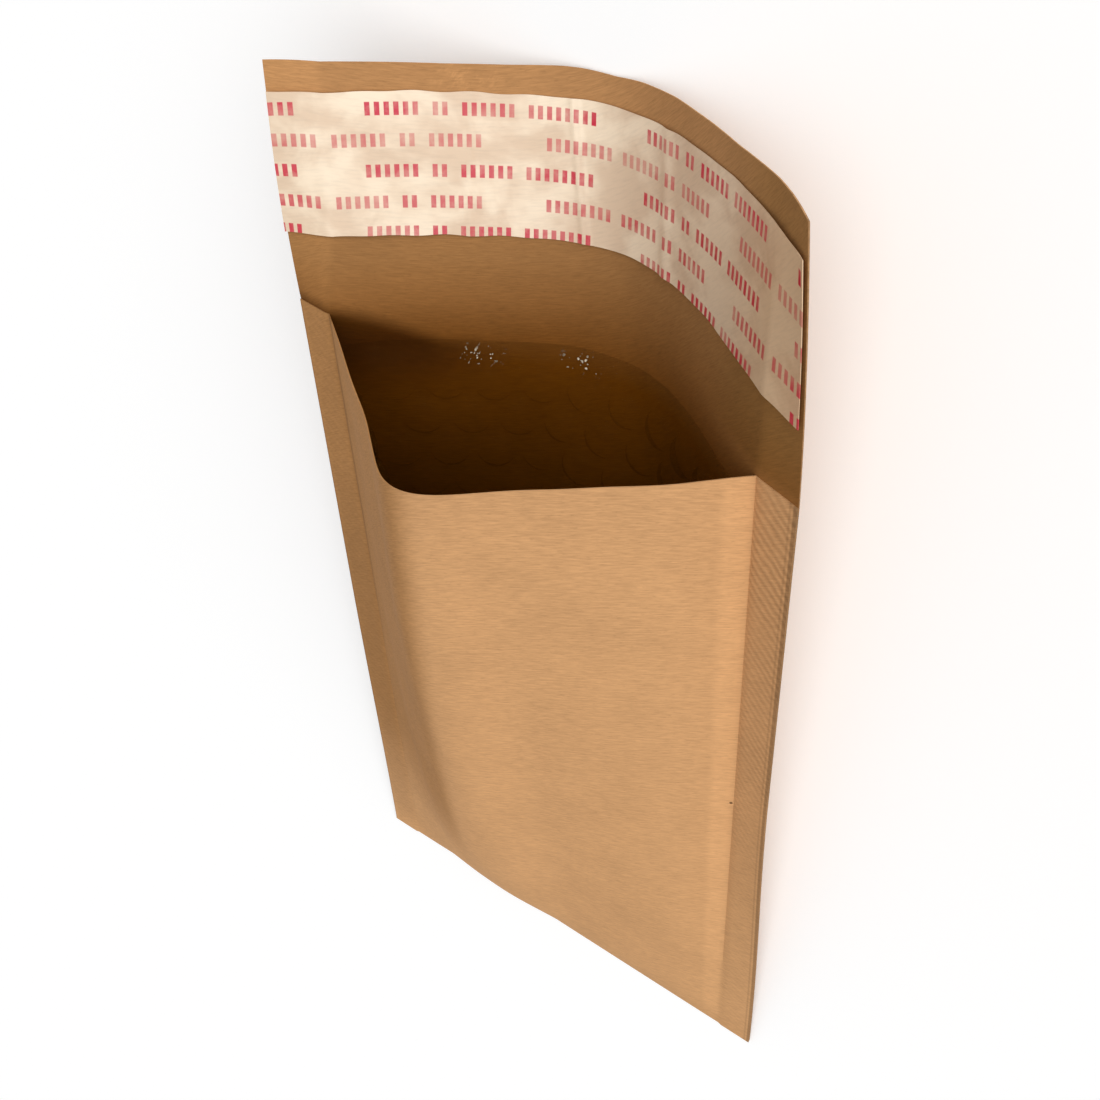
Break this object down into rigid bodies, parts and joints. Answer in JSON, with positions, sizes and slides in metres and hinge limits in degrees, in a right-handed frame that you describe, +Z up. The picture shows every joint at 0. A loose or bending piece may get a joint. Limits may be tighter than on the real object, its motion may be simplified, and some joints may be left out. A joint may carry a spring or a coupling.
{
  "type": "padded envelope",
  "caption": "Open kraft paper mailer lined with bubble film, with an unfolded flap that carries a peel-off release strip over its adhesive band.",
  "frame": {"origin": "centre of the bounding box, on the surface that the envelope lies on", "axes": "+Y from the bottom fold to the flap's edge, +X across to the envelope's right, +Z up through the front panel"},
  "size_m": [0.1642, 0.3046, 0.0775],
  "materials": {
    "kraft": "matte kraft with a fine fibre grain",
    "film": "clear glossy bubble film",
    "adhesive": "pale tacky hot melt",
    "liner": "smooth coated cream release paper"
  },
  "bodies": {
    "root": {"kraft_envelope": "kraft", "bubble_lining": "film", "adhesive_strip": "adhesive", "release_liner": "liner"}
  },
  "joints": []
}
